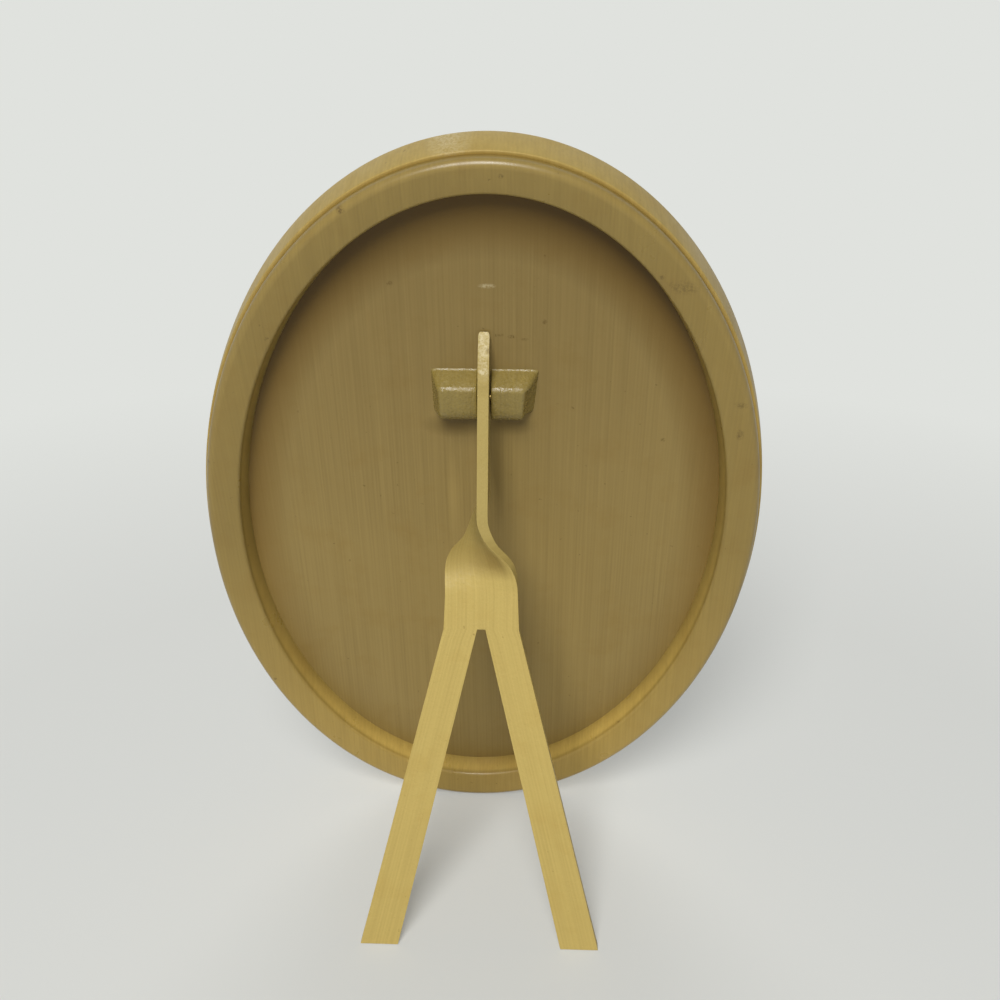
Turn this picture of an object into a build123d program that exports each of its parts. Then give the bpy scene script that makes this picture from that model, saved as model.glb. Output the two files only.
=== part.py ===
from build123d import *
import os
from math import atan2, cos, degrees, radians, sin, sqrt

os.makedirs("parts", exist_ok=True)

# An oval easel picture frame of ivory-coloured sheet plastic. It stands leaning back on a
# forked leg, which hangs on a wire pin between two lugs on the recessed back panel.
#
# The frame's pieces are drawn lying flat: x across, y up the oval, z out of the back, with
# z = 0 on the back panel's outer face. They are then leaned back on the table.
# The leg is drawn about its pin: x across, y up the leg, z out of its rear face.
# In the finished part the front faces -Y, the easel is toward +Y and the table is z = 0.

# Overall size and stance
outer_width = 150.5
outer_height = 215.0
lean_angle = 14.0
oval_turn = 3.0
overrun = 20.0
biarcs_per_quarter = 2

# Layers, from the back panel forwards
panel_thickness = 1.4
closing_gap = 0.2
card_thickness = 0.9
print_thickness = 0.3
glass_thickness = 1.6

# Back ring: a flange that laps the moulding, and a plug that drops inside it
ring_inset = 1.4
seam_height = 3.8
seam_gap = 0.2
ring_corner_height = 7.9
ring_crest_height = 6.0
ring_crest_inset = 9.9
ring_foot_inset = 11.3
ring_corner_bevel = 1.05
ring_corner_soften = 0.4
ring_crest_bevel = 0.7

# Front moulding
rabbet_inset = 5.0
rabbet_clearance = 0.25
moulding_depth = 13.0
rim_inset = 0.6
side_swell = 0.4
nose_round = 3.3
front_crown = 0.8
sight_inset = 12.3
lip_thickness = 2.4
lip_bevel = 0.6

# Hinge lugs and pin
pin_radius = 0.8
pin_height = 3.0
pin_rise = 42.7
hinge_offset = 1.55
pin_grip = 6.5
pin_clearance = 0.05
seat_clearance = 0.01
lug_gap = 3.5
lug_width = 11.85
lug_height = 6.0
lug_above_pin = 5.7
lug_below_pin = 6.6
lug_top_bevel = 1.9
lug_end_bevel = 2.8
lug_nose_round = 3.4
lug_ridge_bevel = 0.4
lug_corner_bevel = 1.4

# Easel leg, cut from one strip
leg_open_angle = 25.0
strip_thickness = 2.8
arm_rear = 7.6
arm_front = 2.7
arm_length = 26.0
twist_length = 24.0
plate_offset = 6.2
shoulder_width = 18.6
plate_width = 19.4
crotch_below_pin = 59.1
slit_width = 2.1
foot_spread = 64.6
foot_width = 10.2
tail_rise = 16.6
tail_facet_rise = 11.8
tail_corner_rise = 6.7
tail_facet_cut = 1.1
tail_tip = 0.4
stop_gap = 0.25

# The quarter twist, as shares of its length, of the quarter turn, of the growth from the
# arm's width to the shoulder's, of the arm's width moved aside, and of the way to the plate
twist_down_shares = (0, 0.125, 0.26, 0.43, 0.57, 0.68, 0.83, 1)
twist_turn_shares = (0, 0.05, 0.16, 0.36, 0.62, 0.78, 0.93, 1)
twist_growth_shares = (0, 0, 0, 0.16, 0.78, 0.92, 0.97, 1)
twist_aside_shares = (0, 0.05, 0.12, 0.15, 0.16, 0.12, 0.04, 0)
twist_rise_shares = (0, 0, 0.03, 0.1, 0.5, 0.75, 0.95, 1)

half_width = outer_width / 2
half_height = outer_height / 2
card_front = -panel_thickness - closing_gap - card_thickness
print_front = card_front - print_thickness
glass_front = print_front - glass_thickness


def oval_stations():
    """Places on the ellipse of the outline, with the direction of travel at each."""
    count = 4 * biarcs_per_quarter
    stations = []
    for step in range(count + 1):
        turn = radians(360 / count * step)
        place = Vector(half_width * cos(turn), half_height * sin(turn), 0)
        travel = Vector(-half_width * sin(turn), half_height * cos(turn), 0)
        stations.append((place, travel.normalized()))
    return stations


def oval_path():
    """The outline of the front moulding, which every oval piece follows.

    It is an ellipse drawn in tangent arcs, two between each pair of places, so that every
    piece keeps an even distance from it.
    """
    stations = oval_stations()
    edges = []
    for (start, start_travel), (end, end_travel) in zip(stations[:-1], stations[1:]):
        chord = end - start
        lean_in = 2 * (1 - start_travel.dot(end_travel))
        along = chord.dot(start_travel + end_travel)
        reach = (-along + sqrt(along ** 2 + lean_in * chord.dot(chord))) / lean_in
        meeting = (start + end + (start_travel - end_travel) * reach) / 2
        first = Edge.make_tangent_arc(start, start_travel, meeting)
        edges.append(first)
        edges.append(Edge.make_tangent_arc(meeting, first % 1, end))
    return Wire(edges)


def oval_sheet(inset, low, high):
    """A flat oval sheet between two heights, its edge inset evenly from the outline."""
    face = offset(make_face(oval_path()), -inset)
    return Pos(0, 0, low) * extrude(face, high - low)


def swept_round(section):
    """Carry a cross section, drawn as (outward, height), once round the outline."""
    side = Plane(origin=(half_width, 0, 0), x_dir=(1, 0, 0), z_dir=(0, -1, 0))
    return sweep(sections=side * section, path=oval_path())


def corner_at(face, place):
    """The corner of a flat face that lies nearest to a place."""
    return face.vertices().sort_by_distance((place[0], place[1], 0))[0]


def rounded_corner(face, place, radius):
    return fillet(corner_at(face, place), radius)


def bevelled_corner(face, place, size):
    return chamfer(corner_at(face, place), size)


def softened_corner(face, place, size, second_size):
    """A corner bevelled, and the two corners that leaves bevelled again."""
    face = bevelled_corner(face, place, size)
    left_over = face.vertices().sort_by_distance((place[0], place[1], 0))[:2]
    return chamfer(left_over, second_size)


def back_ring():
    """The ring's back face falls inwards to a crest, and its inner wall to the panel."""
    plug = rabbet_inset + rabbet_clearance
    outer_corner = (-ring_inset, ring_corner_height)
    crest = (-ring_crest_inset, ring_crest_height)
    section = make_face(Polyline(
        (-plug, 0),
        (-ring_foot_inset, 0),
        crest,
        outer_corner,
        (-ring_inset, seam_height + seam_gap),
        (-plug, seam_height + seam_gap),
        close=True,
    ))
    section = softened_corner(section, outer_corner, ring_corner_bevel, ring_corner_soften)
    section = bevelled_corner(section, crest, ring_crest_bevel)
    return swept_round(section)


def front_moulding():
    """A rabbeted ring whose side swells outwards and rolls over a round nose to the front."""
    rim = (-rim_inset, seam_height)
    nose = (0, seam_height - moulding_depth)
    lip_edge = (-sight_inset, glass_front - lip_thickness)
    side_middle = (side_swell - rim_inset / 2, seam_height - moulding_depth / 2)
    front_middle = (-sight_inset / 2, (nose[1] + lip_edge[1]) / 2 - front_crown)
    section = make_face(
        Line((-rabbet_inset, glass_front), (-rabbet_inset, seam_height))
        + Line((-rabbet_inset, seam_height), rim)
        + ThreePointArc(rim, side_middle, nose)
        + ThreePointArc(nose, front_middle, lip_edge)
        + Line(lip_edge, (-sight_inset, glass_front))
        + Line((-sight_inset, glass_front), (-rabbet_inset, glass_front))
    )
    section = rounded_corner(section, nose, nose_round)
    section = bevelled_corner(section, lip_edge, lip_bevel)
    return swept_round(section)


def hinge_lug(side):
    """A bevelled lug beside the arm, blind-bored for the pin. side is 1 right, -1 left."""
    top = (lug_above_pin, 0)
    ridge = (lug_above_pin - lug_top_bevel, lug_height)
    nose = (-lug_below_pin, lug_height)
    profile = make_face(Polyline(top, ridge, nose, (-lug_below_pin, 0), close=True))
    profile = rounded_corner(profile, nose, lug_nose_round)
    profile = bevelled_corner(profile, ridge, lug_ridge_bevel)
    across = Plane(origin=(lug_gap / 2, 0, 0), x_dir=(0, 1, 0), z_dir=(1, 0, 0))
    lug = extrude(across * profile, lug_width)
    outer_end = lug_gap / 2 + lug_width
    slope = degrees(atan2(lug_end_bevel, lug_height))
    waste = Box(
        overrun, overrun, overrun,
        align=(Align.MIN, Align.CENTER, Align.CENTER),
    )
    lug -= Pos(outer_end, 0, 0) * Rot(0, -slope, 0) * waste
    plan = make_face(Polyline(
        (lug_gap / 2, lug_above_pin),
        (outer_end, lug_above_pin),
        (outer_end, -lug_below_pin),
        (lug_gap / 2, -lug_below_pin),
        close=True,
    ))
    plan = bevelled_corner(plan, (outer_end, -lug_below_pin), lug_corner_bevel)
    lug &= extrude(plan, lug_height)
    bore = Cylinder(
        pin_radius + seat_clearance,
        lug_gap / 2 + pin_grip + seat_clearance,
        align=(Align.CENTER, Align.CENTER, Align.MIN),
    )
    lug -= Pos(0, 0, pin_height) * Rot(0, 90, 0) * bore
    if side < 0:
        lug = mirror(lug, about=Plane.YZ)
    return Pos(hinge_offset, pin_rise, 0) * lug


def hinge_pin():
    pin = Cylinder(pin_radius, lug_gap + 2 * pin_grip)
    return Pos(hinge_offset, pin_rise, pin_height) * Rot(0, 90, 0) * pin


def foot_distance():
    """Length down the leg, from the pin to the table, along the plate's middle plane."""
    lean = radians(lean_angle)
    tilt = radians(leg_open_angle - lean_angle)
    pin_above_table = centre_height + pin_rise * cos(lean) - pin_height * sin(lean)
    return (pin_above_table + plate_offset * sin(tilt)) / cos(tilt)


def arm():
    """The upper strip, standing on edge. Its head is cut to lie along the panel when open."""
    opening = radians(leg_open_angle)
    floor = pin_height - stop_gap

    def panel_line(rise):
        """Where the open leg meets the panel, at a rise above the pin."""
        return (rise * sin(opening) - floor) / cos(opening)

    heel_rise = (floor - arm_front * cos(opening)) / sin(opening)
    profile = make_face(Polyline(
        (-arm_length, -arm_front),
        (heel_rise, -arm_front),
        (tail_rise, panel_line(tail_rise)),
        (tail_rise, panel_line(tail_rise) + tail_tip),
        (tail_facet_rise, arm_rear - tail_facet_cut),
        (tail_corner_rise, arm_rear),
        (-arm_length, arm_rear),
        close=True,
    ))
    on_edge = Plane(origin=(0, 0, 0), x_dir=(0, 1, 0), z_dir=(1, 0, 0))
    blade = extrude(on_edge * profile, strip_thickness / 2, both=True)
    hole = Rot(0, 90, 0) * Cylinder(pin_radius + pin_clearance, strip_thickness + overrun)
    return blade - hole


def strip_section(down, turn, growth, aside, rise):
    """The strip's cross section at one place down the quarter twist, all as shares."""
    arm_half = (arm_rear + arm_front) / 2
    arm_middle = (arm_rear - arm_front) / 2
    half = arm_half + (shoulder_width / 2 - arm_half) * growth
    middle = arm_middle + (plate_offset - arm_middle) * rise
    angle = radians(90 * turn)
    place = Plane(
        origin=(-2 * arm_half * aside, -arm_length - twist_length * down, middle),
        x_dir=(sin(angle), 0, cos(angle)),
        z_dir=(0, -1, 0),
    )
    return place * Rectangle(2 * half, strip_thickness)


def twist():
    """The quarter turn between the arm and the plate, lofted through turning sections.

    The far edge swings out first, while the near edge still runs straight. The strip
    widens through sloping shoulders as it turns.
    """
    rows = zip(
        twist_down_shares,
        twist_turn_shares,
        twist_growth_shares,
        twist_aside_shares,
        twist_rise_shares,
    )
    return loft([strip_section(*row) for row in rows])


def fork():
    """The plate, slit up its middle and spread into two straight prongs."""
    top = -arm_length - twist_length
    crotch = -crotch_below_pin
    foot = -foot_distance() - overrun
    run = (foot - crotch) / (-foot_distance() - crotch)
    outer_foot = plate_width / 2 + (foot_spread - plate_width) / 2 * run
    inner_foot = slit_width / 2 + (foot_spread / 2 - foot_width - slit_width / 2) * run
    outline = make_face(Polyline(
        (-shoulder_width / 2, top),
        (shoulder_width / 2, top),
        (plate_width / 2, crotch),
        (outer_foot, foot),
        (inner_foot, foot),
        (slit_width / 2, crotch),
        (-slit_width / 2, crotch),
        (-inner_foot, foot),
        (-outer_foot, foot),
        (-plate_width / 2, crotch),
        close=True,
    ))
    plate = Pos(0, 0, plate_offset) * extrude(outline, strip_thickness / 2, both=True)
    return plate


def easel_leg():
    return arm() + twist() + fork()


def lean_back(shape):
    """Lean a flat-lying piece of the frame back, about the middle of the panel's face."""
    lean = radians(lean_angle)
    back = Plane(origin=(0, 0, 0), x_dir=(-1, 0, 0), z_dir=(0, cos(lean), -sin(lean)))
    return back.location * shape


def turned(shape):
    """The oval stands turned a little in its own plane, its hinge upright."""
    return Rot(0, 0, -oval_turn) * shape


def hung(shape):
    """Hang the leg on its pin, opened to its stop."""
    return Pos(hinge_offset, pin_rise, pin_height) * Rot(-leg_open_angle, 0, 0) * shape


frame_nodes = {
    "front_moulding": turned(front_moulding()),
    "glass_pane": turned(oval_sheet(
        rabbet_inset + rabbet_clearance, glass_front, print_front)),
    "photo_print": turned(oval_sheet(
        rabbet_inset + 2 * rabbet_clearance, print_front, card_front)),
    "backing_card": turned(oval_sheet(
        rabbet_inset + 2 * rabbet_clearance, card_front, card_front + card_thickness)),
    "back_panel": turned(oval_sheet(
        rabbet_inset + rabbet_clearance, -panel_thickness, 0)),
    "back_ring": turned(back_ring()),
    "hinge_lug_right": hinge_lug(1),
    "hinge_lug_left": hinge_lug(-1),
    "hinge_pin": hinge_pin(),
}
nodes = {name: lean_back(shape) for name, shape in frame_nodes.items()}

# the frame stands on the rear edge of its moulding
centre_height = -nodes["front_moulding"].bounding_box().min.Z
above_table = Pos(0, 0, -centre_height) * Box(
    2 * outer_width, 2 * outer_height, 2 * outer_height,
    align=(Align.CENTER, Align.CENTER, Align.MIN),
)
nodes["easel_leg"] = lean_back(hung(easel_leg())) & above_table

boxes = [shape.bounding_box() for shape in nodes.values()]
least_x = min(box.min.X for box in boxes)
most_x = max(box.max.X for box in boxes)
least_y = min(box.min.Y for box in boxes)
most_y = max(box.max.Y for box in boxes)
home = Pos(-(least_x + most_x) / 2, -(least_y + most_y) / 2, centre_height)

for name, shape in nodes.items():
    placed = home * shape
    export_step(placed, f"parts/{name}.step")
    print(name, placed.volume)

print("overall x", most_x - least_x, "y", most_y - least_y)
print("least z", min(box.min.Z for box in boxes) + centre_height)
pin_place = Pos(hinge_offset, pin_rise, pin_height) * Vertex(0, 0, 0)
print("pin centre", (home * lean_back(pin_place)).center())
print("panel centre", (home * lean_back(Vertex(0, 0, 0))).center())
print("foot distance", foot_distance())
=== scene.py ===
import math

import bmesh
import bpy
from mathutils import Matrix, Vector


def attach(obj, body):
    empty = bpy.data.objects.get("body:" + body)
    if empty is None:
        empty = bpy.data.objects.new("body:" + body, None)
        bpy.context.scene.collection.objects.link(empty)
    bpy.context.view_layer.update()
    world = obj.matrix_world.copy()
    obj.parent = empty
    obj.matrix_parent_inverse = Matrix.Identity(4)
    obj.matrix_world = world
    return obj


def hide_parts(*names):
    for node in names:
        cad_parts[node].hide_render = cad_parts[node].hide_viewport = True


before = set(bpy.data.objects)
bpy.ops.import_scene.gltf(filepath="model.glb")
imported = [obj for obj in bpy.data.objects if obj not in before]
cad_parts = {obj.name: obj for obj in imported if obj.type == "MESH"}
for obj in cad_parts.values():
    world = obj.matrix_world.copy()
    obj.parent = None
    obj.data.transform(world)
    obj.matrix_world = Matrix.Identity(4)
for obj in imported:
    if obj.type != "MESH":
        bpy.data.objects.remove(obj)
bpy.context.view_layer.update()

# An oval easel frame of aged ivory-coloured sheet plastic, seen from behind. Sizes here are
# millimetres, turned into metres as each mesh is made.
MM = 0.001
LEAN = math.radians(14.0)
OVAL_TURN = math.radians(3.0)
HALF_WIDTH, HALF_HEIGHT = 75.25, 107.5
RECESS_HALF_WIDTH, RECESS_HALF_HEIGHT = 63.95, 96.2
CENTRE = Vector((0.0, -7.498, 104.574))
GLASS_FRONT, GLASS_BACK = -4.4, -2.8
PRINT_FRONT, PRINT_BACK = -2.75, -2.5
PIN_ASIDE, PIN_RISE, PIN_HEIGHT = 1.55, 42.7, 3.0
LEG_OPEN = math.radians(25.0)
STRIP = 2.8

# The lugs: from the arm's middle outward, up from the pin, out of the panel, and the radii of
# their rounded ends.
LUG_INNER, LUG_OUTER = 1.75, 13.6
LUG_TOP, LUG_NOSE_START, LUG_NOSE_RUN = 5.7, -1.6, 5.4
LUG_FRONT = 6.0
INNER_ROUND, OUTER_ROUND = 0.45, 1.4

# The arm: its rear and front edges off the pin, and the sloping head above the pin.
REAR, FRONT = 7.6, 2.7
HEAD_SLOPE, HEAD_BEND, HEAD_TIP = -6.7, -11.8, -16.6
HEAD_REAR, HEAD_TIP_DEPTH = 6.5, 0.4
HEAD_CLEARANCE = 0.25
# the head's rounded end, seen from behind: thickness by distance down from the pin
HEAD_THICKNESS = {HEAD_TIP: 1.8, -16.35: 2.4, -15.9: 2.7, -15.3: STRIP}

# The twist, by distance down from the pin: turn, half width, shift aside and height.
TWIST_DOWN = (26.0, 29.0, 32.24, 36.32, 39.68, 42.32, 45.92, 50.0)
TWIST_TURN = (0, 0.05, 0.16, 0.36, 0.62, 0.78, 0.93, 1)
TWIST_GROWTH = (0, 0, 0, 0.16, 0.72, 0.92, 0.98, 1)
TWIST_ASIDE = (0, 0.04, 0.09, 0.08, 0.07, 0.05, 0.015, 0)
TWIST_RISE = (0, 0, 0.03, 0.1, 0.5, 0.75, 0.95, 1)
TWIST_STEP, TWIST_STEPS = 0.75, 32

# The plate and the prongs: height, half widths, and distances down from the pin.
PLATE_OFFSET = 6.2
SHOULDER, PLATE, SLIT = 9.3, 9.7, 1.05
CROTCH, FOOT = 59.1, 149.204
FOOT_OUTER, FOOT_INNER = 32.3, 22.1

# The leg's grain runs along its own map, shifted from one prong to the other.
MAP_PER_MM = 0.01
PRONG_SHIFT = 0.05


def on_panel(x, v, w):
    """A place on the leaning frame: x to the right seen from behind, v up the panel, w out
    of its back."""
    return Vector((
        -x,
        v * math.sin(LEAN) + w * math.cos(LEAN),
        v * math.cos(LEAN) - w * math.sin(LEAN),
    )) + CENTRE


def on_oval(x, v, w):
    """The same, for pieces that are turned with the oval in its own plane."""
    c, s = math.cos(OVAL_TURN), math.sin(OVAL_TURN)
    return on_panel(x * c + v * s, -x * s + v * c, w)


def on_leg(x, t, q):
    """A place on the open leg: x to the right seen from behind, t down from the pin, q out of
    its rear face."""
    c, s = math.cos(LEG_OPEN), math.sin(LEG_OPEN)
    return on_panel(
        PIN_ASIDE + x, PIN_RISE - t * c + q * s, PIN_HEIGHT + t * s + q * c)


def on_outline(i, count):
    """Step i of count round the oval's outline, and the way outward there."""
    a = 2 * math.pi * i / count
    place = Vector((HALF_WIDTH * math.cos(a), HALF_HEIGHT * math.sin(a)))
    out = Vector((HALF_HEIGHT * math.cos(a), HALF_WIDTH * math.sin(a))).normalized()
    return place, out


def progress(value, start, end):
    """How far a value has come from start to end, from 0 to 1."""
    return min(1, max(0, (value - start) / (end - start)))


def smooth_object(name, verts, faces, uvs=None, angle=35):
    mesh = bpy.data.meshes.new(name)
    mesh.from_pydata([v * MM for v in verts], [], faces)
    if uvs:
        layer = mesh.uv_layers.new(name="grain")
        for loop in mesh.loops:
            layer.data[loop.index].uv = uvs[loop.vertex_index]
    bm = bmesh.new()
    bm.from_mesh(mesh)
    bmesh.ops.recalc_face_normals(bm, faces=bm.faces)
    bm.to_mesh(mesh)
    bm.free()
    mesh.shade_smooth()
    mesh.set_sharp_from_angle(angle=math.radians(angle))
    piece = bpy.data.objects.new(name, mesh)
    bpy.context.scene.collection.objects.link(piece)
    return piece


def give_points(piece, name, values):
    """Store a value for each point of a piece, which its material reads."""
    layer = piece.data.attributes.new(name, "FLOAT", "POINT")
    for item, value in zip(layer.data, values):
        item.value = value


def rounded(points, radii, steps=6):
    """A closed outline with each corner rounded by its own radius."""
    out = []
    count = len(points)
    for i, (point, radius) in enumerate(zip(points, radii)):
        here = Vector(point)
        if radius == 0:
            out.append(here)
            continue
        before = (Vector(points[i - 1]) - here).normalized()
        after = (Vector(points[(i + 1) % count]) - here).normalized()
        half = before.angle(after) / 2
        reach = radius / math.tan(half)
        middle = here + (before + after).normalized() * (radius / math.sin(half))
        start, end = here + before * reach - middle, here + after * reach - middle
        sweep = start.angle_signed(end)
        for k in range(steps + 1):
            turn = Matrix.Rotation(-sweep * k / steps, 2)
            out.append(middle + turn @ start)
    return out


def arc(start, end, bulge, steps):
    """Points along a shallow arc that stands off its chord by bulge, to the chord's right."""
    start, end = Vector(start), Vector(end)
    chord = end - start
    side = Vector((chord.y, -chord.x)).normalized()
    return [
        start + chord * (k / steps) + side * (bulge * (1 - (2 * k / steps - 1) ** 2))
        for k in range(steps + 1)
    ]


def oval_round(name, section, count=288):
    """Carry a closed cross section of (outward, height, cove) points round the oval outline.

    The third value is painted shade, amber to dark brown, for how deep in a corner the point lies;
    below nought it paints the recess's wall paler, as painted light.
    """
    verts, faces, painted_shadings = [], [], []
    size = len(section)
    for i in range(count):
        place, out = on_outline(i, count)
        for outward, height, painted_shading in section:
            spot = place + out * outward
            verts.append(on_oval(spot.x, spot.y, height))
            painted_shadings.append(painted_shading)
        for k in range(size):
            a0, b0 = i * size + k, i * size + (k + 1) % size
            a1, b1 = (i + 1) % count * size + k, (i + 1) % count * size + (k + 1) % size
            faces.append((a0, b0, b1, a1))
    piece = smooth_object(name, verts, faces)
    give_points(piece, "painted_shading", painted_shadings)
    return piece


def make_ring():
    """The ring of the back, whose inner wall slopes down to the panel."""
    plug, shoulder, seam = -5.25, -1.4, 4.0
    foot, wall_run, wall_top, crest_top = -11.3, 1.4, 6.0, 7.9
    corners = [
        (plug, 0), (foot, 0), (foot + wall_run, wall_top),
        (shoulder, crest_top), (shoulder, seam), (plug, seam)]
    outline = rounded(corners, (0, 0, 1.1, 1.8, 0, 0), 8)
    # the third number of each point is painted shade at the wall's foot and in the seam's groove;
    # below nought it paints the wall paler, as painted light
    section = [(plug, 0, 0.0), (foot, 0, 0.3)]
    for k in range(1, 6):
        share = k / 7
        section.append((foot + wall_run * share, wall_top * share, -0.2 * min(k, 4)))
    section += [(p.x, p.y, 0.12 - 0.014 * k) for k, p in enumerate(outline[2:11])]
    section += [(p.x, p.y, 0.0) for p in outline[11:20]]
    section += [(shoulder, 5.4, 0.1), (shoulder, 4.6, 0.3)]
    section += [(shoulder, seam, 0.8), (plug, seam, 0.8)]
    piece = oval_round("ring_of_the_back", section)
    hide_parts("back_ring")
    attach(piece, "back_unit")
    return piece


def make_moulding():
    """The front moulding: a swelling side, a round nose and a swelling face to the sight edge."""
    rabbet, seam, sight = -5.0, 3.8, -12.3
    rim, nose, lip = Vector((-0.6, seam)), Vector((0, -9.2)), Vector((sight, -6.8))
    side = arc(rim, nose, -0.4, 14)
    front = arc(nose, lip, -0.8, 14)
    nose_round = rounded([side[-5], nose, front[4]], (0, 3.3, 0), 14)[1:-1]
    rim_round = rounded([(rabbet, seam), rim, side[2]], (0, 0.35, 0), 4)[1:-1]
    lip_round = rounded([front[-2], lip, (sight, GLASS_FRONT)], (0, 0.5, 0), 4)[1:-1]
    # the third number of each point is painted shade, in the seam's groove and at the sight edge's
    # corner
    section = [(rabbet, GLASS_FRONT, 0.0), (rabbet, seam, 0.8)]
    section += [(-1.5, seam, 0.7), (-1.15, seam, 0.5)]
    section += [(p.x, p.y, 0.3 - 0.06 * k) for k, p in enumerate(rim_round)]
    section += [(p.x, p.y, 0.0) for p in side[1:-4] + nose_round + front[4:-1]]
    section += [(p.x, p.y, 0.1) for p in lip_round] + [(sight, GLASS_FRONT, 0.6)]
    piece = oval_round("moulding_of_the_front", section)
    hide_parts("front_moulding")
    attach(piece, "front_unit")
    return piece


def make_sheet(name, node, front, back, count=180):
    """A flat oval sheet in the moulding's rabbet, between two heights."""
    edge, chamfer = 5.25, 0.1
    corners = (
        (edge + chamfer, front), (edge, front + chamfer),
        (edge, back - chamfer), (edge + chamfer, back))
    size = len(corners)
    verts, faces = [], []
    for i in range(count):
        place, out = on_outline(i, count)
        for inset, height in corners:
            spot = place - out * inset
            verts.append(on_oval(spot.x, spot.y, height))
        for k in range(size - 1):
            a0, a1 = i * size + k, (i + 1) % count * size + k
            faces.append((a0, a0 + 1, a1 + 1, a1))
    for k in (0, size - 1):
        faces.append(tuple(range(k, size * count, size)))
    piece = smooth_object(name, verts, faces)
    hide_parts(node)
    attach(piece, "front_unit")
    return piece


def make_lug(side):
    """One bevelled lug. side is 1 for the right seen from behind, -1 for the left."""
    # a bead of cement along its top, the steep top face, the front and the round nose
    bead = [Vector(p) for p in ((6.35, 0), (6.12, 0.12), (5.95, 0.35), (5.83, 0.75), (5.76, 1.3))]
    profile = bead + rounded(
        [bead[-1], (LUG_TOP, 1.5), (3.7, LUG_FRONT), (LUG_NOSE_START, LUG_FRONT)],
        (0, 0, 1.7, 0), 8)[2:]
    for k in range(1, 13):
        a = math.pi / 24 * k
        profile.append(Vector((
            LUG_NOSE_START - LUG_NOSE_RUN * math.sin(a) ** 0.8,
            LUG_FRONT * max(0, math.cos(a)) ** 0.75)))
    size = len(profile)
    outward = []
    for k in range(size):
        run = profile[min(size - 1, k + 1)] - profile[max(0, k - 1)]
        outward.append(Vector((run.y, -run.x)).normalized())
    end_slope, taper, corner = (2.6, 0.1, 2.0) if side > 0 else (1.7, 0.03, 1.6)
    bottom = LUG_NOSE_START - LUG_NOSE_RUN

    def outer_end(v, w):
        low = min(corner, max(0, corner + bottom - v))
        return (
            LUG_OUTER - end_slope * w / LUG_FRONT - taper * max(0, LUG_TOP - v)
            - corner + math.sqrt(corner ** 2 - low ** 2))

    verts, faces = [], []

    def add_row(place):
        for k, (v, w) in enumerate(profile):
            across, v, w = place(k, v, w)
            verts.append(on_panel(PIN_ASIDE + side * across, PIN_RISE + v, w))

    def inset(k, v, w, depth):
        v, w = v - outward[k].x * depth, w - outward[k].y * depth * min(1, w)
        return v, max(0, w)

    turns = [math.pi / 8 * k for k in range(5)]
    for a in turns:
        add_row(lambda k, v, w: (
            LUG_INNER + INNER_ROUND * (1 - math.cos(a)),
            *inset(k, v, w, INNER_ROUND * (1 - math.sin(a)))))
    for share in (0.25, 0.5, 0.75):
        add_row(lambda k, v, w: (
            (LUG_INNER + INNER_ROUND) * (1 - share) + (outer_end(v, w) - OUTER_ROUND) * share,
            v, w))
    for a in turns[::-1]:
        add_row(lambda k, v, w: (
            outer_end(v, w) - OUTER_ROUND * (1 - math.cos(a)),
            *inset(k, v, w, OUTER_ROUND * (1 - math.sin(a)))))
    add_row(lambda k, v, w: (outer_end(v, 0), v, 0))
    rows = len(verts) // size
    for i in range(rows - 1):
        for k in range(size - 1):
            a0, a1 = i * size + k, (i + 1) * size + k
            faces.append((a0, a0 + 1, a1 + 1, a1))
    faces.append(tuple(range(size)))
    name = "right" if side > 0 else "left"
    piece = smooth_object("lug_" + name, verts, faces, angle=50)
    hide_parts("hinge_lug_" + name)
    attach(piece, "back_unit")
    return piece


def between(t, table, values):
    """Smooth steps between a table's values, with no overshoot."""
    if t <= table[0]:
        return values[0]
    if t >= table[-1]:
        return values[-1]
    count = len(table)
    slopes = []
    for i in range(count):
        if i in (0, count - 1):
            slopes.append(0.0)
            continue
        d0 = (values[i] - values[i - 1]) / (table[i] - table[i - 1])
        d1 = (values[i + 1] - values[i]) / (table[i + 1] - table[i])
        slopes.append(0.0 if d0 * d1 <= 0 else 2 * d0 * d1 / (d0 + d1))
    for i in range(count - 1):
        if t <= table[i + 1]:
            h = table[i + 1] - table[i]
            s = (t - table[i]) / h
            a, b = values[i], values[i + 1]
            m, n = slopes[i] * h, slopes[i + 1] * h
            return (
                a * (1 + 2 * s) * (1 - s) ** 2 + m * s * (1 - s) ** 2
                + b * s * s * (3 - 2 * s) - n * s * s * (1 - s))


def panel_line(rise):
    """How low the open arm may lie at a rise above the pin, to stay clear of the panel."""
    height = PIN_HEIGHT - HEAD_CLEARANCE
    return (rise * math.sin(LEG_OPEN) - height) / math.cos(LEG_OPEN)


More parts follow.
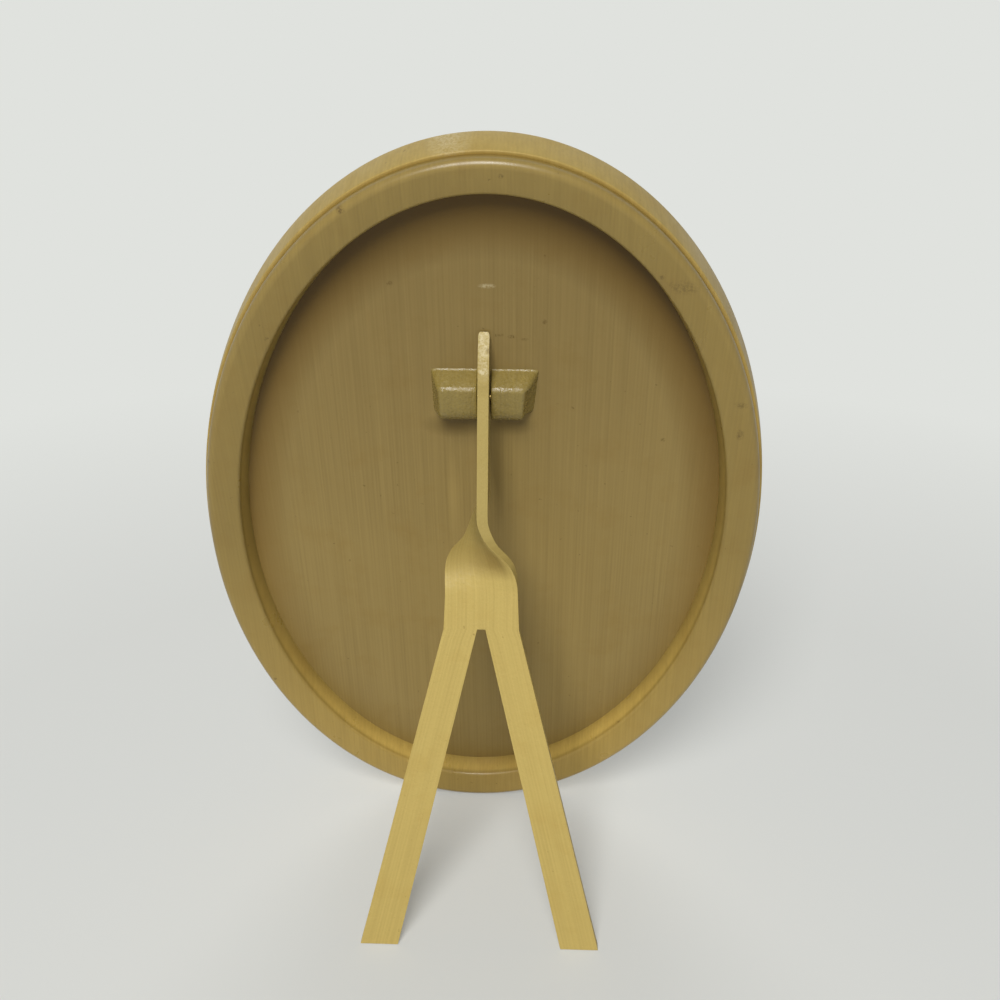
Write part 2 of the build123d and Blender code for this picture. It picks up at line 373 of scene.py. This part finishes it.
def leg_row(t):
    """The strip's shift aside, middle, half width and turn, at a distance down from the pin."""
    if t < TWIST_DOWN[0]:
        near = REAR
        if t < HEAD_SLOPE:
            near = REAR - (REAR - HEAD_REAR) * progress(t, HEAD_SLOPE, HEAD_BEND)
        if t < HEAD_BEND:
            tip = panel_line(-HEAD_TIP) + HEAD_TIP_DEPTH
            near = HEAD_REAR + (tip - HEAD_REAR) * (HEAD_BEND - t) / (HEAD_BEND - HEAD_TIP)
        far = max(-FRONT, panel_line(-t))
        return 0.0, (near + far) / 2, (near - far) / 2, 0.0
    arm_half = (REAR + FRONT) / 2
    arm_middle = (REAR - FRONT) / 2
    end = TWIST_DOWN[-1]
    half = arm_half + (SHOULDER - arm_half) * between(t, TWIST_DOWN, TWIST_GROWTH)
    if t > CROTCH:
        half = PLATE + (FOOT_OUTER - PLATE) * (t - CROTCH) / (FOOT - CROTCH)
    elif t > end:
        half = SHOULDER + (PLATE - SHOULDER) * (t - end) / (CROTCH - end)
    middle = arm_middle + (PLATE_OFFSET - arm_middle) * between(t, TWIST_DOWN, TWIST_RISE)
    aside = -2 * arm_half * between(t, TWIST_DOWN, TWIST_ASIDE)
    return aside, middle, half, math.radians(90) * between(t, TWIST_DOWN, TWIST_TURN)


def make_leg():
    """One strip: an arm on edge, a quarter twist, and a plate slit into two prongs."""
    # just above the pin the arm's front edge leaves the panel's line
    rows = [*HEAD_THICKNESS, -14.0, HEAD_BEND, -9.5, HEAD_SLOPE, -3.5, -0.717, 4, 10, 16, 22]
    rows += [TWIST_DOWN[0] + TWIST_STEP * k for k in range(TWIST_STEPS + 1)]
    rows += [53.0, 56.0, CROTCH]
    prong_rows = [62, 70, 80, 95, 110, 125, 138, FOOT]
    narrow = 4.3
    verts, uvs, twist_shades, faces = [], [], [], []

    def put(t, s, side):
        """A point at s across the strip. Side 1 is the arm's left face, which turns to the rear."""
        aside, middle, half, turn = leg_row(t)
        thick = side * HEAD_THICKNESS.get(t, STRIP) / 2
        x = aside + s * math.sin(turn) - thick * math.cos(turn)
        q = middle + s * math.cos(turn) + thick * math.sin(turn)
        place = on_leg(x, t, q)
        if place.z < 0:
            # the feet are cut level with the table
            higher = on_leg(x, t - 6, q)
            place = higher + (place - higher) * (higher.z / (higher.z - place.z))
        verts.append(place)
        uvs.append((s * MAP_PER_MM, t * MAP_PER_MM))
        # painted shade on the twist's rear face, most under the near edge
        along = progress(t, 33, 39) * progress(t, 46, 42)
        share = s / half
        across = 0.4 + 0.6 * progress(share, -0.5, 0.5)
        twist_shades.append(along * across if side > 0 and share < 0.95 else 0.0)
        return len(verts) - 1

    def skin(before, after):
        """Faces between two rows, on both sides of the strip and along both edges."""
        columns = len(after[0]) - 1
        for side in (0, 1):
            for k in range(columns):
                faces.append((
                    before[side][k], before[side][k + 1], after[side][k + 1], after[side][k]))
        for k in (0, columns):
            faces.append((before[0][k], before[1][k], after[1][k], after[0][k]))

    def cap(row, columns):
        """Faces across the strip's thickness, at an end."""
        for k in columns:
            faces.append((row[0][k], row[0][k + 1], row[1][k + 1], row[1][k]))

    previous = None
    for t in rows:
        half = leg_row(t)[2]
        if half < narrow:
            edge = [-1, -0.8, -0.6, -0.4, -0.2, 0, 0.2, 0.4, 0.6, 0.8, 1]
        else:
            edge = [-1, -0.75, -0.5, -0.25, -SLIT / half, 0, SLIT / half, 0.25, 0.5, 0.75, 1]
        row = [[put(t, half * e, side) for e in edge] for side in (1, -1)]
        if previous is None:
            cap(row, range(10))
        else:
            skin(previous, row)
        previous = row
    # the slit's square end
    cap(previous, (4, 5))
    for hand in (-1, 1):
        keep = slice(0, 5) if hand < 0 else slice(6, 11)
        last = [side[keep] for side in previous]
        for t in prong_rows:
            outer = leg_row(t)[2]
            inner = SLIT + (FOOT_INNER - SLIT) * (t - CROTCH) / (FOOT - CROTCH)
            spread = [outer * (1 - k / 4) + inner * k / 4 for k in range(5)]
            across = [-s for s in spread] if hand < 0 else spread[::-1]
            row = [[put(t, s, side) for s in across] for side in (1, -1)]
            for face in row:
                for index, s in zip(face, across):
                    # the grain follows each prong
                    middle = hand * (outer + inner) / 2
                    uvs[index] = ((s - middle) * MAP_PER_MM + hand * PRONG_SHIFT, t * MAP_PER_MM)
            skin(last, row)
            last = row
        cap(last, range(4))
    piece = smooth_object("leg_strip", verts, faces, uvs, 30)
    give_points(piece, "painted_twist_shade", twist_shades)
    edges = piece.modifiers.new("edges", "BEVEL")
    edges.width = 0.35 * MM
    edges.segments = 3
    edges.limit_method = "ANGLE"
    edges.angle_limit = math.radians(40)
    edges.harden_normals = False
    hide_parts("easel_leg")
    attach(piece, "leg")
    return piece


def srgb(r, g, b):
    def linear(value):
        value = value / 255
        return value / 12.92 if value <= 0.04045 else ((value + 0.055) / 1.055) ** 2.4
    return (linear(r), linear(g), linear(b), 1.0)


class Nodes:
    """Short hands for building nodes, in a new material or in a tree that is given."""

    def __init__(self, name, tree=None):
        self.tree = tree
        if tree is None:
            self.material = bpy.data.materials.new(name)
            self.material.use_nodes = True
            self.tree = self.material.node_tree
            self.shader = self.tree.nodes["Principled BSDF"]

    def add(self, kind, **settings):
        node = self.tree.nodes.new(kind)
        for key, value in settings.items():
            if hasattr(node, key):
                setattr(node, key, value)
            else:
                node.inputs[key.replace("_", " ")].default_value = value
        return node

    def join(self, source, target):
        self.tree.links.new(source, target)

    def feed(self, socket, value):
        """Give a socket a plain value, or join another node's output to it."""
        if isinstance(value, (int, float, tuple)):
            socket.default_value = value
        else:
            self.join(value, socket)

    def noise(self, vector, scale, detail=2.0, rough=0.5):
        node = self.add("ShaderNodeTexNoise", Scale=scale, Detail=detail, Roughness=rough)
        self.join(vector, node.inputs["Vector"])
        return node.outputs["Fac"]

    def ramp(self, source, low, high, low_value=0.0, high_value=1.0):
        node = self.add("ShaderNodeMapRange", From_Min=low, From_Max=high,
                        To_Min=low_value, To_Max=high_value)
        self.join(source, node.inputs["Value"])
        return node.outputs["Result"]

    def math(self, operation, a, b):
        node = self.add("ShaderNodeMath", operation=operation)
        self.feed(node.inputs[0], a)
        self.feed(node.inputs[1], b)
        return node.outputs[0]

    def mix(self, factor, a, b, blend="MIX"):
        node = self.add("ShaderNodeMix", data_type="RGBA", blend_type=blend)
        colours = [s for s in node.inputs if s.type == "RGBA"]
        for socket, value in zip([node.inputs[0]] + colours, (factor, a, b)):
            self.feed(socket, value)
        return [s for s in node.outputs if s.type == "RGBA"][0]

    def length(self, vector):
        node = self.add("ShaderNodeVectorMath", operation="LENGTH")
        self.join(vector, node.inputs[0])
        return node.outputs["Value"]

    def second(self, vector):
        """A vector's second part, Y."""
        node = self.add("ShaderNodeSeparateXYZ")
        self.join(vector, node.inputs[0])
        return node.outputs["Y"]

    def point_value(self, name):
        return self.add("ShaderNodeAttribute", attribute_name=name).outputs["Fac"]

    def moved(self, vector, **settings):
        node = self.add("ShaderNodeMapping", vector_type="POINT", **settings)
        self.join(vector, node.inputs["Vector"])
        return node.outputs["Vector"]

    def panel_space(self):
        """Object coordinates laid with the panel, in metres from its middle: x across to the
        left seen from behind, y up it, z forwards."""
        angle = LEAN - math.pi / 2
        coords = self.add("ShaderNodeTexCoord")
        middle = -(Matrix.Rotation(angle, 3, "X") @ CENTRE) * MM
        return self.moved(coords.outputs["Object"], Rotation=(angle, 0, 0), Location=middle)

    def spot(self, space, x, v, wide, tall, soft=0.5):
        """A soft oval spot at a place on the panel, sized in millimetres."""
        scale = (1 / (wide * MM), 1 / (tall * MM), 0)
        place = (x * MM * scale[0], -v * MM * scale[1], 0)
        size = self.length(self.moved(space, Scale=scale, Location=place))
        return self.ramp(size, 1 - soft, 1 + soft, 1.0, 0.0)

    def bump(self, height, strength, distance):
        node = self.add("ShaderNodeBump", Strength=strength, Distance=distance)
        self.join(height, node.inputs["Height"])
        return node

    def blend(self, factor, a, b, output="Material Output"):
        """Show two shaders, mixed by a factor."""
        node = self.add("ShaderNodeMixShader")
        self.join(factor, node.inputs[0])
        self.join(a.outputs[0], node.inputs[1])
        self.join(b.outputs[0], node.inputs[2])
        self.join(node.outputs[0], self.tree.nodes[output].inputs["Surface"])

    def seen_rays(self):
        """1 where the background is seen, straight or through glass or in a reflection, and 0
        where it would light the object."""
        path = self.add("ShaderNodeLightPath")
        seen = path.outputs["Is Camera Ray"]
        for other in ("Is Glossy Ray", "Is Transmission Ray"):
            seen = self.math("MAXIMUM", seen, path.outputs[other])
        direct = self.math("LESS_THAN", path.outputs["Diffuse Depth"], 0.5)
        return self.math("MULTIPLY", seen, direct)


def shade(colour, factor):
    """A colour made darker or paler; the darker, the more amber."""
    warm = (1.0, min(1, 0.8 + 0.2 * factor), min(1, 0.4 + 0.6 * factor))
    return tuple(min(1, c * factor * w) for c, w in zip(colour, warm)) + (1.0,)


def tinted(colour, r, g, b):
    """A colour with each part scaled."""
    return (colour[0] * r, colour[1] * g, colour[2] * b, 1.0)


def paint_corner_shading(n, colour, rise, blotch, amber, dark):
    """Painted light and shade: paler low on the frame and on the recess's wall, as painted light,
    and amber to brown deep in the corners, as painted shade.
    """
    # painted light: paler towards the bottom
    low = n.ramp(rise, -0.08, 0.0, 1.0, 0.0)
    colour = n.mix(low, colour, (1.42, 1.4, 1.36, 1.0), "MULTIPLY")
    depth = n.point_value("painted_shading")
    # painted light: the recess's wall paler
    wall = n.ramp(depth, -0.8, 0.0, 1.0, 0.0)
    colour = n.mix(wall, colour, (1.4, 1.42, 1.5, 1.0), "MULTIPLY")
    # painted shade deep in the corners, amber then dark brown, broken by blotches and weaker low on
    # the frame
    corner_shade = n.math("MULTIPLY", depth, n.ramp(blotch, 0.3, 0.7, 0.75, 1.15))
    corner_shade = n.math("MULTIPLY", corner_shade, n.ramp(rise, -0.062, -0.03, 0.05, 1.0))
    colour = n.mix(n.ramp(corner_shade, 0.05, 0.75, 0.0, 0.7), colour, amber)
    return n.mix(n.ramp(corner_shade, 0.7, 1.0, 0.0, 0.4), colour, dark)


def paint_rim_shade(n, colour, panel, rise, tone, amber):
    """Painted shade on the panel: darker to the top, and amber along its edge where it meets the
    ring, deepening to a painted shadow under the ring's top.
    """
    turned = n.moved(panel, Rotation=(0, 0, -OVAL_TURN))
    scale = (1 / (RECESS_HALF_WIDTH * MM), 1 / (RECESS_HALF_HEIGHT * MM), 0)
    reach = n.length(n.moved(turned, Scale=scale))
    # painted shade: darker towards the top
    height = n.ramp(rise, -0.01, 0.09, 0.0, 1.0)
    colour = n.mix(height, colour, (0.72, 0.7, 0.7, 1.0), "MULTIPLY")
    # painted shade along the panel's edge by the ring, strongest at the top
    near = n.ramp(reach, 0.84, 1.0, 0.0, 0.8)
    near = n.math("MULTIPLY", near, n.ramp(rise, -0.06, 0.0, 0.15, 1.0))
    colour = n.mix(near, colour, amber)
    # painted shadow under the ring's top
    top = n.ramp(rise, -0.02, 0.077, 0.1, 0.9)
    deep = n.math("MULTIPLY", n.ramp(reach, 0.82, 0.98), top)
    return n.mix(deep, colour, tinted(tone, 0.3, 0.22, 0.06))


def shade_strip(n, colour, space):
    """The arm is a little darker than the plate, and painted shade darkens the twist, most under
    the near edge.
    """
    arm = n.ramp(n.second(space), 0.036, 0.046, 1.0, 0.0)
    colour = n.mix(arm, colour, (0.78, 0.79, 0.82, 1.0), "MULTIPLY")
    return n.mix(n.point_value("painted_twist_shade"), colour, (0.58, 0.54, 0.46, 1.0), "MULTIPLY")


def ivory(name, tone, grain_on="panel", rough=0.3, stripe=0.12, marks=(), pale_marks=(),
          painted_shadows_and_streaks=(), painted_shading=False, rim=False, chips=0.0, shine=0.5):
    """Aged ivory-coloured sheet plastic with a fine straight grain."""
    n = Nodes(name)
    panel = n.panel_space()
    space = panel
    if grain_on == "strip":
        coords = n.add("ShaderNodeUVMap", uv_map="grain")
        to_metres = MM / MAP_PER_MM
        space = n.moved(coords.outputs["UV"], Scale=(to_metres, to_metres, to_metres))
    lines = n.moved(space, Scale=(1.0, 0.012, 0.3))
    bands = n.add("ShaderNodeTexWave", bands_direction="X", Scale=330.0, Distortion=9.0,
                  Detail=2.0, Detail_Scale=0.6)
    n.join(lines, bands.inputs["Vector"])
    wide = n.ramp(n.noise(lines, 700, 1.0, 0.5), 0.3, 0.7)
    fine = n.ramp(n.noise(lines, 2300, 2.0, 0.6), 0.3, 0.7)
    grain = n.math("MULTIPLY", bands.outputs["Fac"], 0.2)
    grain = n.math("ADD", grain, n.math("MULTIPLY", wide, 0.4))
    grain = n.math("ADD", grain, n.math("MULTIPLY", fine, 0.4))
    cloud = n.noise(space, 18, 3.0, 0.55)
    blotch = n.noise(space, 70, 4.0, 0.62)
    speck = n.noise(space, 520, 2.0, 0.5)
    amber, dark = tinted(tone, 0.80, 0.66, 0.40), tinted(tone, 0.34, 0.27, 0.16)
    colour = n.mix(grain, shade(tone, 1 - stripe), shade(tone, 1 + stripe))
    colour = n.mix(n.ramp(cloud, 0.42, 0.72, 0.0, 0.35), colour, shade(tone, 1.14))
    colour = n.mix(n.ramp(blotch, 0.52, 0.78, 0.0, 0.3), colour, amber)
    colour = n.mix(n.ramp(speck, 0.72, 0.78, 0.0, 0.5), colour, dark)
    rise = n.second(panel)
    if painted_shading:
        colour = paint_corner_shading(n, colour, rise, blotch, amber, dark)
    if rim:
        colour = paint_rim_shade(n, colour, panel, rise, tone, amber)
    if grain_on == "strip":
        colour = shade_strip(n, colour, space)
    # soft spots; on the panel these are painted shadows and a paler streak
    for *place, strength, tint in painted_shadows_and_streaks:
        soft = n.math("MULTIPLY", n.spot(panel, *place, 0.7), strength)
        colour = n.mix(soft, colour, shade(tone, tint))
    ragged = n.ramp(n.noise(panel, 1500, 3.0, 0.7), 0.38, 0.6)
    # dark marks and pale spots; some pale spots are painted highlights
    for spots, tint in ((pale_marks, (0.7, 0.61, 0.38, 1.0)), (marks, dark)):
        for *place, strength in spots:
            wear_and_glint = n.math("MULTIPLY", n.spot(panel, *place), strength)
            colour = n.mix(n.math("MULTIPLY", wear_and_glint, ragged), colour, tint)
    n.join(colour, n.shader.inputs["Base Color"])
    gloss = n.ramp(blotch, 0.3, 0.7, rough - 0.05, rough + 0.1)
    relief = n.bump(grain, 0.25, 0.00004)
    if chips:
        dull = n.ramp(n.noise(panel, 900, 2.0, 0.6), 0.4, 0.65, 0.0, chips / 2)
        gloss = n.math("ADD", gloss, dull)
        chipped = n.bump(n.noise(panel, 1100, 3.0, 0.6), chips, 0.0004)
        n.join(relief.outputs["Normal"], chipped.inputs["Normal"])
        relief = chipped
    n.join(gloss, n.shader.inputs["Roughness"])
    n.join(relief.outputs["Normal"], n.shader.inputs["Normal"])
    n.shader.inputs["IOR"].default_value = 1.5
    n.shader.inputs["Specular IOR Level"].default_value = shine
    return n.material


def plain(name, colour, rough, metal=0.0, scale=400, foxing=None):
    """A speckled plain material; foxing is the colour of its age spots, if it has any."""
    n = Nodes(name)
    space = n.panel_space()
    speck = n.ramp(n.noise(space, scale, 3.0), 0.3, 0.7)
    tint = n.mix(speck, tinted(colour, 0.88, 0.88, 0.88), colour)
    if foxing:
        spots = n.ramp(n.noise(space, 160, 5.0, 0.65), 0.55, 0.8, 0.0, 0.6)
        tint = n.mix(spots, tint, foxing)
    n.join(tint, n.shader.inputs["Base Color"])
    n.shader.inputs["Roughness"].default_value = rough
    n.shader.inputs["Metallic"].default_value = metal
    return n.material


def clear_glass():
    """Clear glass; the lamps light the paper straight through it."""
    n = Nodes("clear_glass")
    smear = n.noise(n.panel_space(), 30, 4.0)
    n.join(n.ramp(smear, 0.4, 0.8, 0.0, 0.02), n.shader.inputs["Roughness"])
    n.shader.inputs["Base Color"].default_value = (0.97, 1.0, 0.985, 1.0)
    n.shader.inputs["Transmission Weight"].default_value = 1.0
    n.shader.inputs["IOR"].default_value = 1.5
    ray = n.add("ShaderNodeLightPath")
    clear = n.add("ShaderNodeBsdfTransparent")
    n.blend(ray.outputs["Is Shadow Ray"], n.shader, clear)
    return n.material


def dress(piece, material):
    piece.data.materials.clear()
    piece.data.materials.append(material)


ring = make_ring()
moulding = make_moulding()
lugs = [make_lug(1), make_lug(-1)]
leg = make_leg()
pane = make_sheet("pane_of_glass", "glass_pane", GLASS_FRONT, GLASS_BACK)
paper = make_sheet("blank_paper", "photo_print", PRINT_FRONT, PRINT_BACK)

# marks by place on the panel: x, v, half width, half height, strength
RING_MARKS = (
    (-30.1, 94.0, 0.8, 0.7, 1.0), (19.2, 105.1, 0.9, 0.5, 0.9), (6.2, 102.2, 0.5, 0.5, 0.8),
    (43.4, 77.8, 0.6, 0.5, 0.8), (48.4, 75.6, 3.2, 1.5, 0.45), (65.4, 43.8, 1.3, 0.8, 0.5),
    (66.2, 34.9, 0.8, 1.3, 0.6), (1.2, -90.6, 1.5, 4.0, 0.55),
)
PANEL_MARKS = (
    (5.6, 58.7, 0.7, 0.3, 0.7), (8.4, 58.3, 0.9, 0.4, 0.9), (11.6, 57.6, 0.8, 0.3, 0.6),
    (-20.9, 72.5, 0.5, 0.5, 0.8), (16.5, 62.5, 0.5, 0.5, 0.9), (47.8, 28.4, 0.5, 0.5, 0.8),
)
PANEL_PALE_MARKS = ((2.4, 72.0, 1.6, 0.5, 0.5),)
# soft spots, with how much darker or paler: painted shadows under the lugs and beside the arm, and
# a paler streak left of the arm
PANEL_SHADOWS_AND_STREAK = (
    (-6.0, 32.0, 5.8, 2.4, 0.8, 0.5), (7.6, 32.2, 4.8, 2.0, 0.55, 0.5),
    (4.3, 18.0, 1.6, 13.0, 0.45, 0.5), (-7.4, 7.0, 1.4, 10.0, 0.35, 1.4),
)
MOULDING_MARKS = (
    (-9.2, 106.9, 0.6, 0.4, 0.9), (-6.0, 107.7, 0.7, 0.4, 0.8), (-11.2, 106.2, 0.5, 0.4, 0.7),
)
# a painted highlight on the moulding's top
MOULDING_PAINTED_HIGHLIGHT = ((-7.4, 107.2, 5.0, 1.4, 0.45),)
LEG_MARKS = ((2.7, 56.3, 0.5, 0.5, 0.9),)
# painted highlights on the arm's head: a glint at its lower corner and its bright sloping end
LEG_PAINTED_HIGHLIGHTS = ((1.6, 52.2, 0.9, 0.45, 0.9), (1.6, 58.0, 1.6, 6.0, 0.6))

# the pieces are one plastic; their different tones are partly their own colour and partly painted
# light and shade, paler for the leg and the moulding, which catch more light, darker for the panel,
# ring and lugs
dress(ring, ivory(
    "ring_plastic", srgb(141, 119, 60), stripe=0.11, marks=RING_MARKS, painted_shading=True))
dress(moulding, ivory(
    "moulding_plastic", srgb(173, 149, 83), rough=0.42, marks=MOULDING_MARKS,
    pale_marks=MOULDING_PAINTED_HIGHLIGHT, painted_shading=True, shine=0.25))
dress(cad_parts["back_panel"], ivory(
    "panel_plastic", srgb(147, 126, 74), stripe=0.11, rough=0.38, marks=PANEL_MARKS,
    pale_marks=PANEL_PALE_MARKS, painted_shadows_and_streaks=PANEL_SHADOWS_AND_STREAK, rim=True, shine=0.25))
dress(leg, ivory(
    "leg_plastic", srgb(187, 164, 94), "strip", stripe=0.1, rough=0.46, marks=LEG_MARKS,
    pale_marks=LEG_PAINTED_HIGHLIGHTS, chips=0.35, shine=0.25))
lug_plastic = ivory("lug_plastic", srgb(136, 118, 60), chips=0.6, rough=0.14)
for lug in lugs:
    dress(lug, lug_plastic)
dress(paper, plain("blank_print", srgb(206, 194, 168), 0.5, foxing=srgb(170, 146, 108)))
dress(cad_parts["backing_card"], plain("grey_card", srgb(150, 132, 104), 0.9))
dress(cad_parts["hinge_pin"], plain("pin_wire", srgb(178, 150, 92), 0.35, 1.0, 900))
dress(pane, clear_glass())

BACKGROUND = srgb(224, 226, 222)


def make_stage():
    """A pale floor, which fades into the plain background away from the object."""
    mesh = bpy.data.meshes.new("floor")
    size = 12.0
    mesh.from_pydata(
        [(-size, -size, 0), (size, -size, 0), (size, size, 0), (-size, size, 0)],
        [], [(0, 1, 2, 3)])
    floor = bpy.data.objects.new("floor", mesh)
    bpy.context.scene.collection.objects.link(floor)
    n = Nodes("floor_pale")
    n.shader.inputs["Base Color"].default_value = srgb(222, 223, 219)
    n.shader.inputs["Roughness"].default_value = 0.8
    coords = n.add("ShaderNodeTexCoord")
    away = n.ramp(n.length(coords.outputs["Object"]), 0.2, 0.5, 0.3, 1.0)
    ground = n.add("ShaderNodeEmission", Color=BACKGROUND)
    n.blend(n.math("MULTIPLY", away, n.seen_rays()), n.shader, ground)
    floor.data.materials.append(n.material)


def make_world():
    """A dim even light, behind a plain background that doesn't light the object."""
    world = bpy.data.worlds.new("studio")
    bpy.context.scene.world = world
    world.use_nodes = True
    n = Nodes("world", world.node_tree)
    ambient = n.tree.nodes["Background"]
    ambient.inputs["Color"].default_value = (0.94, 0.95, 0.94, 1)
    ambient.inputs["Strength"].default_value = 0.07
    shown = n.add("ShaderNodeBackground", Color=BACKGROUND)
    n.blend(n.seen_rays(), ambient, shown, "World Output")


def make_lamp(name, place, wide, tall, power, mirrored=True):
    """A lamp that faces the object; mirrored is whether reflections and glass show it."""
    data = bpy.data.lights.new(name, "AREA")
    data.shape = "RECTANGLE"
    data.size = wide
    data.size_y = tall
    data.energy = power
    lamp = bpy.data.objects.new(name, data)
    lamp.location = place
    lamp.visible_glossy = lamp.visible_transmission = mirrored
    lamp.rotation_mode = "QUATERNION"
    middle = Vector((0, 0, 0.11))
    lamp.rotation_quaternion = (middle - Vector(place)).to_track_quat("-Z", "Y")
    bpy.context.scene.collection.objects.link(lamp)


def make_camera():
    """The photograph's view, from behind and above."""
    data = bpy.data.cameras.new("camera")
    data.sensor_width = 36.0
    data.lens = 43.2
    camera = bpy.data.objects.new("camera", data)
    yaw, pitch, roll = 0.03748, -0.39665, -0.0032
    turn = (
        Matrix.Rotation(math.pi, 3, "Z") @ Matrix.Rotation(yaw, 3, "Z")
        @ Matrix.Rotation(pitch, 3, "X") @ Matrix.Rotation(roll, 3, "Y"))
    right, ahead, up = turn.col
    axes = Matrix((right, up, -ahead)).transposed().to_4x4()
    place = Vector((-16.43, 302.8 + CENTRE.y, 133.812 + CENTRE.z)) * MM
    camera.matrix_world = Matrix.Translation(place) @ axes
    bpy.context.scene.collection.objects.link(camera)
    bpy.context.scene.camera = camera


make_stage()
make_world()
# above and behind the viewer, a little to the left, and one for the front
make_lamp("key", (0.2, 1.5, 1.4), 0.7, 1.0, 38.0)
make_lamp("front", (0.1, -1.2, 0.5), 0.7, 0.7, 9.0, False)
make_camera()
bpy.context.scene.view_settings.view_transform = "Standard"
